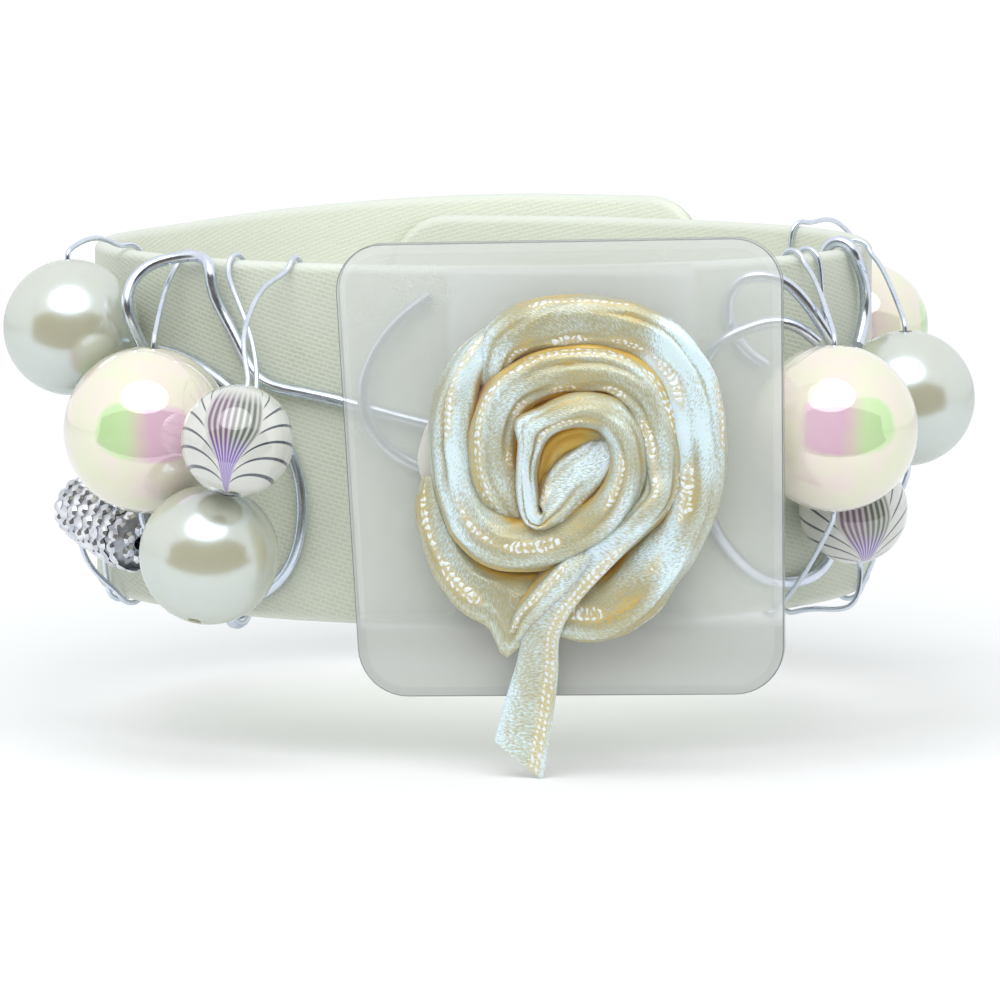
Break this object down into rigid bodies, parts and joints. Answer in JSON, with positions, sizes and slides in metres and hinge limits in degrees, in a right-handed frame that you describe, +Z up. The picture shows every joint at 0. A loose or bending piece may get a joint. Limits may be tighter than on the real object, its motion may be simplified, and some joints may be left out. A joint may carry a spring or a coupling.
{
  "type": "wrist corsage",
  "caption": "Satin-covered spring wrist band with a clear plate on its front, a wound ribbon rose with a hanging tail, and wired beads at both sides.",
  "frame": {"origin": "centre of the wrist loop, halfway up the band", "axes": "+Z up along the wrist, -Y out of the front where the plate and rose are, +X to the right as the front is seen"},
  "size_m": [0.0819, 0.0733, 0.0443],
  "materials": {
    "band_satin": "pale ivory woven satin",
    "spring_steel": "bright rolled strip",
    "clear_plastic": "clear moulded",
    "clear_adhesive": "cloudy clear",
    "ribbon_satin": "cream satin with a fine woven edge",
    "pearl_coat": "pearl lustre",
    "rainbow_coat": "cream with a rainbow film",
    "striped_glaze": "clear glaze over fine violet-grey stripes",
    "silver_crystal": "silvered and set with small stones",
    "aluminium_wire": "bright drawn wire"
  },
  "bodies": {
    "front": {"sleeve_front": "band_satin", "spring_strip_front": "spring_steel", "clear_plate": "clear_plastic", "adhesive_bed": "clear_adhesive", "glue_dab": "clear_adhesive", "rose_heart_and_tail": "ribbon_satin", "rose_outer_wrap": "ribbon_satin", "wire_pearl_left": "aluminium_wire", "wire_rainbow_left": "aluminium_wire", "wire_crystal": "aluminium_wire", "wire_pearl_lower": "aluminium_wire", "wire_striped_left": "aluminium_wire", "wire_pearl_right": "aluminium_wire", "wire_rainbow_back": "aluminium_wire", "wire_striped_right": "aluminium_wire", "wire_rainbow_right": "aluminium_wire", "scroll_wire_left": "aluminium_wire", "scroll_wire_left_low": "aluminium_wire", "scroll_wire_plate_left": "aluminium_wire", "scroll_wire_right_loop": "aluminium_wire", "scroll_wire_right_upper": "aluminium_wire", "scroll_wire_right_lower": "aluminium_wire", "scroll_wire_right_side": "aluminium_wire"},
    "left_arm": {"sleeve_left_arm": "band_satin", "spring_strip_left_arm": "spring_steel"},
    "left_end": {"sleeve_left_end": "band_satin", "spring_strip_left_end": "spring_steel"},
    "right_arm": {"sleeve_right_arm": "band_satin", "spring_strip_right_arm": "spring_steel"},
    "right_end": {"sleeve_right_end": "band_satin", "spring_strip_right_end": "spring_steel"},
    "pearl_left": {"pearl_left": "pearl_coat"},
    "pearl_lower": {"pearl_lower": "pearl_coat"},
    "pearl_right": {"pearl_right": "pearl_coat"},
    "rainbow_left": {"rainbow_bead_left": "rainbow_coat"},
    "rainbow_right": {"rainbow_bead_right": "rainbow_coat"},
    "rainbow_back": {"rainbow_bead_back": "rainbow_coat"},
    "striped_left": {"striped_bead_left": "striped_glaze"},
    "striped_right": {"striped_bead_right": "striped_glaze"},
    "crystal": {"crystal_bead": "silver_crystal"}
  },
  "joints": [
    {"name": "left_arm_flex", "type": "hinge", "parent": "front", "child": "left_arm", "pos_m": [-0.02738, 0.01737, 0], "axis": [0, 0, 1], "range_deg": [0, 70], "stiffness_Nm_per_rad": 0.01},
    {"name": "left_end_flex", "type": "hinge", "parent": "left_arm", "child": "left_end", "pos_m": [-0.01298, 0.02825, 0], "axis": [0, 0, 1], "range_deg": [0, 70]},
    {"name": "right_arm_flex", "type": "hinge", "parent": "front", "child": "right_arm", "pos_m": [0.02379, 0.01991, 0], "axis": [0, 0, 1], "range_deg": [-35, 0]},
    {"name": "right_end_flex", "type": "hinge", "parent": "right_arm", "child": "right_end", "pos_m": [0.00909, 0.02744, 0], "axis": [0, 0, 1], "range_deg": [-35, 0]},
    {"name": "pearl_left_spin", "type": "hinge", "parent": "front", "child": "pearl_left", "pos_m": [-0.03477, -0.01776, 0.0089], "axis": [-0.0564, 0.088, 0.9945], "continuous": true},
    {"name": "pearl_lower_spin", "type": "hinge", "parent": "front", "child": "pearl_lower", "pos_m": [-0.02251, -0.03454, -0.0083], "axis": [0.1981, 0.3733, 0.9063], "continuous": true},
    {"name": "pearl_right_spin", "type": "hinge", "parent": "front", "child": "pearl_right", "pos_m": [0.0359, -0.01587, 0.0027], "axis": [-0.0338, -0.061, 0.9976], "continuous": true},
    {"name": "rainbow_left_spin", "type": "hinge", "parent": "front", "child": "rainbow_left", "pos_m": [-0.02791, -0.02722, 0.0012], "axis": [0.0807, -0.0664, 0.9945], "continuous": true},
    {"name": "rainbow_right_spin", "type": "hinge", "parent": "front", "child": "rainbow_right", "pos_m": [0.02898, -0.02967, 0.0016], "axis": [0, 0, 1], "continuous": true},
    {"name": "rainbow_back_spin", "type": "hinge", "parent": "front", "child": "rainbow_back", "pos_m": [0.03434, 0.01803, 0.0057], "axis": [0, 0, 1], "continuous": true},
    {"name": "striped_left_spin", "type": "hinge", "parent": "front", "child": "striped_left", "pos_m": [-0.02002, -0.03833, 0.0015], "axis": [0.1668, 0.3883, 0.9063], "continuous": true},
    {"name": "striped_right_spin", "type": "hinge", "parent": "front", "child": "striped_right", "pos_m": [0.0311, -0.0208, -0.0062], "axis": [-0.1342, -0.1588, 0.9781], "continuous": true},
    {"name": "crystal_spin", "type": "hinge", "parent": "front", "child": "crystal", "pos_m": [-0.03165, -0.01747, -0.0078], "axis": [-0.559, 0.7931, 0.2419], "continuous": true}
  ],
  "couplings": [
    {"joint": "left_end_flex", "follows": "left_arm_flex", "ratio": 1},
    {"joint": "right_arm_flex", "follows": "left_arm_flex", "ratio": -0.5},
    {"joint": "right_end_flex", "follows": "left_arm_flex", "ratio": -0.5}
  ]
}
